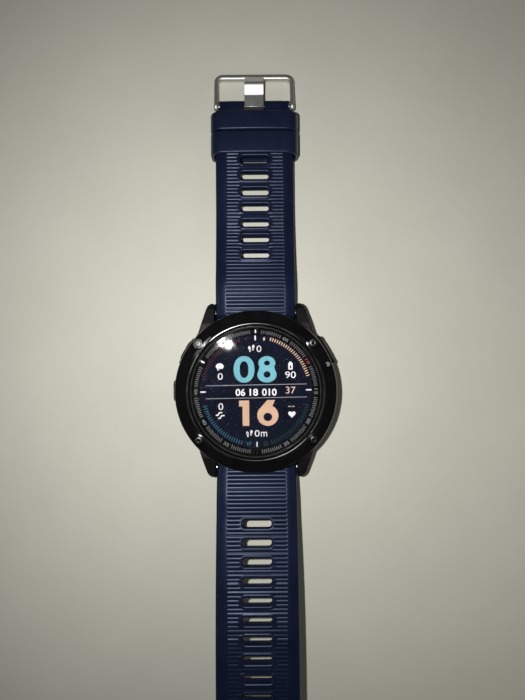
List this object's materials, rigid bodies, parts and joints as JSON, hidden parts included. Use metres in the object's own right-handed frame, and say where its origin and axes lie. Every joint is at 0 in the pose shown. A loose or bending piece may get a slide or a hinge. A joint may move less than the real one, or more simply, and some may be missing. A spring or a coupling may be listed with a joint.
{
  "type": "gps sports watch",
  "caption": "Round GPS sports watch with pressable side buttons, glass over a dark digital dial, and a slotted ribbed navy silicone strap with a steel buckle, lying open.",
  "frame": {"origin": "centre of the flat window in the case back, on the surface the watch lies on", "axes": "+Z out of the display, +Y to twelve o'clock and the buckle, +X to three o'clock"},
  "size_m": [0.0522, 0.2567, 0.0177],
  "materials": {
    "strap_silicone": "matte navy silicone, ribbed",
    "loop_silicone": "smooth navy silicone",
    "bezel_black": "gloss black coating",
    "case_black": "satin black fibre-filled polymer",
    "back_black": "fine matte black",
    "port_black": "matte black",
    "carrier_black": "matte black",
    "lens_glass": "clear, polished",
    "sensor_glass": "dark, polished",
    "display_panel": "dark reflective colour display",
    "buckle_steel": "brushed, edges polished",
    "pin_steel": "turned",
    "latch_steel": "satin",
    "screw_steel": "dark coated",
    "button_metal": "satin black coating",
    "seal_rubber": "matte black",
    "switch_steel": "stamped",
    "motor_steel": "drawn can",
    "board_green": "solder mask",
    "cell_foil": "foil pouch"
  },
  "bodies": {
    "case": {"sensor_window": "sensor_glass", "rear_cover": "back_black", "rear_cover_screw_top_right": "screw_steel", "rear_cover_screw_top_left": "screw_steel", "rear_cover_screw_bottom_left": "screw_steel", "rear_cover_screw_bottom_right": "screw_steel", "case_gasket": "seal_rubber", "charging_port": "port_black", "mid_case": "case_black", "lug_bar_top": "pin_steel", "lug_bar_bottom": "pin_steel", "bezel": "bezel_black", "bezel_screw_top_right": "screw_steel", "bezel_screw_top_left": "screw_steel", "bezel_screw_bottom_left": "screw_steel", "bezel_screw_bottom_right": "screw_steel", "lens": "lens_glass", "lens_gasket": "seal_rubber", "chapter_ring": "carrier_black", "display_module": "display_panel", "display_carrier": "carrier_black", "main_board": "board_green", "battery": "cell_foil", "vibration_motor": "motor_steel", "start_button_seal": "seal_rubber", "light_button_seal": "seal_rubber", "up_button_seal": "seal_rubber", "down_button_seal": "seal_rubber", "back_button_seal": "seal_rubber", "start_button_switch": "switch_steel", "light_button_switch": "switch_steel", "up_button_switch": "switch_steel", "down_button_switch": "switch_steel", "back_button_switch": "switch_steel"},
    "start_button": {"start_button": "button_metal"},
    "light_button": {"light_button": "button_metal"},
    "up_button": {"up_button": "button_metal"},
    "down_button": {"down_button": "button_metal"},
    "back_button": {"back_button": "button_metal"},
    "strap_tail_1": {"strap_tail_1": "strap_silicone"},
    "strap_tail_2": {"strap_tail_2": "strap_silicone"},
    "strap_tail_3": {"strap_tail_3": "strap_silicone"},
    "strap_tail_4": {"strap_tail_4": "strap_silicone"},
    "strap_tail_5": {"strap_tail_5": "strap_silicone"},
    "strap_buckle_1": {"strap_buckle_1": "strap_silicone"},
    "strap_buckle_2": {"strap_buckle_2": "strap_silicone"},
    "strap_buckle_3": {"strap_buckle_3": "strap_silicone", "fixed_strap_loop": "loop_silicone", "buckle_bar": "pin_steel"},
    "quick_release_latch_bottom": {"quick_release_latch_bottom": "latch_steel"},
    "quick_release_latch_top": {"quick_release_latch_top": "latch_steel"},
    "sliding_strap_loop": {"sliding_strap_loop": "loop_silicone"},
    "buckle_frame": {"buckle_frame": "buckle_steel"},
    "buckle_tongue": {"buckle_tongue": "buckle_steel"}
  },
  "joints": [
    {"name": "start_button_press", "type": "slide", "parent": "case", "child": "start_button", "axis": [-0.866, -0.5, 0], "range_m": [0, 0.0006], "stiffness_N_per_m": 1500, "springref_m": -0.0004},
    {"name": "light_button_press", "type": "slide", "parent": "case", "child": "light_button", "axis": [0.866, -0.5, 0], "range_m": [0, 0.0006], "stiffness_N_per_m": 1500, "springref_m": -0.0004},
    {"name": "up_button_press", "type": "slide", "parent": "case", "child": "up_button", "axis": [1, 0, 0], "range_m": [0, 0.0006], "stiffness_N_per_m": 1500, "springref_m": -0.0004},
    {"name": "down_button_press", "type": "slide", "parent": "case", "child": "down_button", "axis": [0.866, 0.5, 0], "range_m": [0, 0.0006], "stiffness_N_per_m": 1500, "springref_m": -0.0004},
    {"name": "back_button_press", "type": "slide", "parent": "case", "child": "back_button", "axis": [-0.866, 0.5, 0], "range_m": [0, 0.0006], "stiffness_N_per_m": 1500, "springref_m": -0.0004},
    {"name": "strap_tail_pivot", "type": "hinge", "parent": "case", "child": "strap_tail_1", "pos_m": [0, -0.0252, 0.005], "axis": [1, 0, 0], "range_deg": [-25, 60]},
    {"name": "strap_buckle_pivot", "type": "hinge", "parent": "case", "child": "strap_buckle_1", "pos_m": [0, 0.0252, 0.005], "axis": [-1, 0, 0], "range_deg": [-30, 60]},
    {"name": "strap_tail_flex_1", "type": "hinge", "parent": "strap_tail_1", "child": "strap_tail_2", "pos_m": [0, -0.06169, 0.01212], "axis": [1, 0, 0], "range_deg": [-3, 26], "stiffness_Nm_per_rad": 0.05},
    {"name": "strap_tail_flex_2", "type": "hinge", "parent": "strap_tail_2", "child": "strap_tail_3", "pos_m": [0, -0.08403, 0.01408], "axis": [1, 0, 0], "range_deg": [-3, 26], "stiffness_Nm_per_rad": 0.05},
    {"name": "strap_tail_flex_3", "type": "hinge", "parent": "strap_tail_3", "child": "strap_tail_4", "pos_m": [0, -0.10625, 0.01343], "axis": [1, 0, 0], "range_deg": [-3, 26], "stiffness_Nm_per_rad": 0.05},
    {"name": "strap_tail_flex_4", "type": "hinge", "parent": "strap_tail_4", "child": "strap_tail_5", "pos_m": [0, -0.12771, 0.00759], "axis": [1, 0, 0], "range_deg": [-3, 26], "stiffness_Nm_per_rad": 0.05},
    {"name": "strap_buckle_flex_1", "type": "hinge", "parent": "strap_buckle_1", "child": "strap_buckle_2", "pos_m": [0, 0.04642, 0.00272], "axis": [-1, 0, 0], "range_deg": [-3, 26], "stiffness_Nm_per_rad": 0.05},
    {"name": "strap_buckle_flex_2", "type": "hinge", "parent": "strap_buckle_2", "child": "strap_buckle_3", "pos_m": [0, 0.06247, 0.00135], "axis": [-1, 0, 0], "range_deg": [-3, 26], "stiffness_Nm_per_rad": 0.05},
    {"name": "latch_bottom_slide", "type": "slide", "parent": "strap_tail_1", "child": "quick_release_latch_bottom", "axis": [0, -0.9398, 0.3417], "range_m": [0, 0.0024], "stiffness_N_per_m": 300, "springref_m": -0.001},
    {"name": "latch_top_slide", "type": "slide", "parent": "strap_buckle_1", "child": "quick_release_latch_top", "axis": [0, 0.9856, 0.1693], "range_m": [0, 0.0024], "stiffness_N_per_m": 300, "springref_m": -0.001},
    {"name": "sliding_loop_slide", "type": "slide", "parent": "strap_buckle_3", "child": "sliding_strap_loop", "axis": [0, -1, 0], "range_m": [0, 0.0115]},
    {"name": "buckle_frame_hinge", "type": "hinge", "parent": "strap_buckle_3", "child": "buckle_frame", "pos_m": [0, 0.0938, 0.00305], "axis": [1, 0, 0], "range_deg": [-35, 40]},
    {"name": "buckle_tongue_hinge", "type": "hinge", "parent": "buckle_frame", "child": "buckle_tongue", "pos_m": [0, 0.0938, 0.00305], "axis": [1, 0, 0], "range_deg": [0, 50]}
  ],
  "couplings": [
    {"joint": "strap_tail_flex_2", "follows": "strap_tail_flex_1", "ratio": 1},
    {"joint": "strap_tail_flex_3", "follows": "strap_tail_flex_1", "ratio": 1},
    {"joint": "strap_tail_flex_4", "follows": "strap_tail_flex_1", "ratio": 1},
    {"joint": "strap_buckle_flex_2", "follows": "strap_buckle_flex_1", "ratio": 1}
  ]
}
